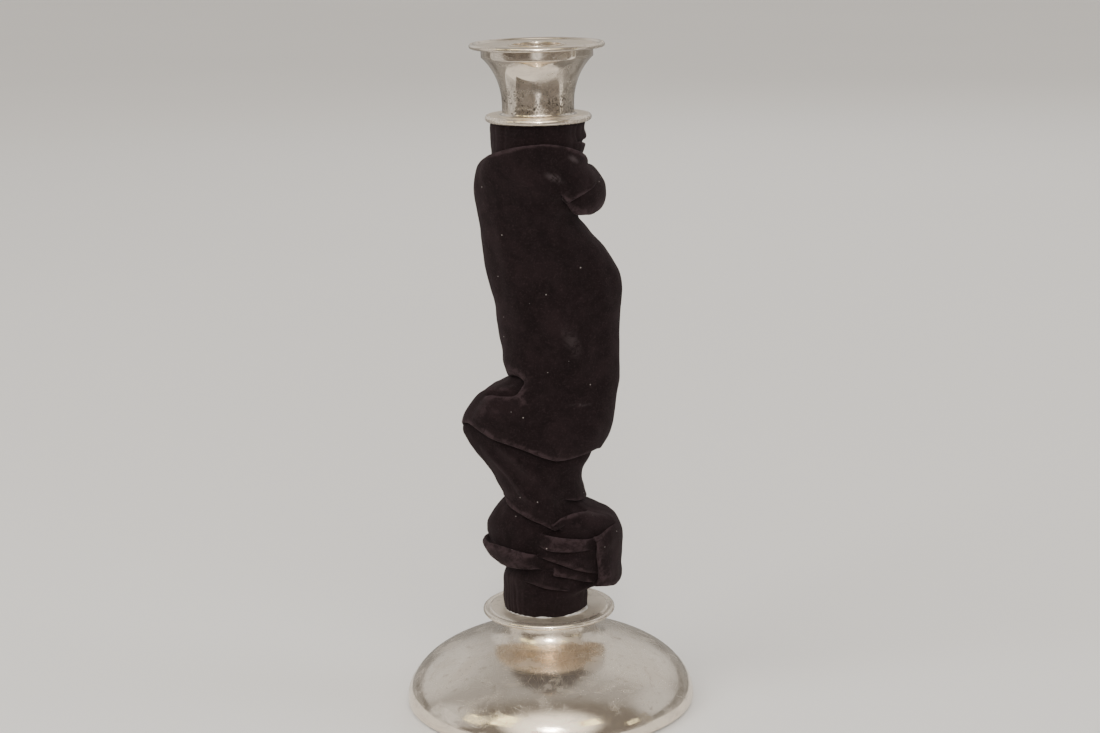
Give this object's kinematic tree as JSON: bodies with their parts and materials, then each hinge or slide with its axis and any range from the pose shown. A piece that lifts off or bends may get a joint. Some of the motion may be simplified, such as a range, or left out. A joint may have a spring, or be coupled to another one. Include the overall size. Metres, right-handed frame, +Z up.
{
  "type": "candlestick",
  "caption": "Tall silver-plated candlestick with a weighted domed base, a stem in a gathered black velvet sleeve, and a flared cup with a lift-out drip pan and candle socket.",
  "frame": {"origin": "centre of the foot, on the plane the candlestick stands on", "axes": "+Z up along the stem towards the candle; -Y is the front, with the sleeve's widest fold to -X at a third of its height"},
  "size_m": [0.1338, 0.1338, 0.306],
  "materials": {
    "silver_plate": "polished silver plate, lightly tarnished and smudged",
    "velvet": "black velvet with a soft pile",
    "steel": "bright zinc-plated steel",
    "cast_iron": "raw cast iron",
    "wood": "turned beech, unfinished",
    "card": "plain board",
    "felt": "dark green felt",
    "glue": "milky set glue"
  },
  "bodies": {
    "stand": {"felt_pad": "felt", "base_cover": "card", "ballast_disc": "cast_iron", "base_shell": "silver_plate", "base_nut": "steel", "base_lock_washer": "steel", "base_washer": "steel", "tie_rod": "steel", "lower_collar": "silver_plate", "sleeve_glue": "glue", "lower_plug": "wood", "stem_tube": "steel", "upper_plug": "wood", "velvet_sleeve": "velvet", "upper_ring": "silver_plate", "candle_cup": "silver_plate", "cup_washer": "steel", "cup_lock_washer": "steel", "cup_nut": "steel"},
    "nozzle": {"drip_pan": "silver_plate", "candle_socket": "silver_plate"}
  },
  "joints": [
    {"name": "nozzle_lift", "type": "slide", "parent": "stand", "child": "nozzle", "axis": [0, 0, 1], "range_m": [0, 0.035]}
  ]
}
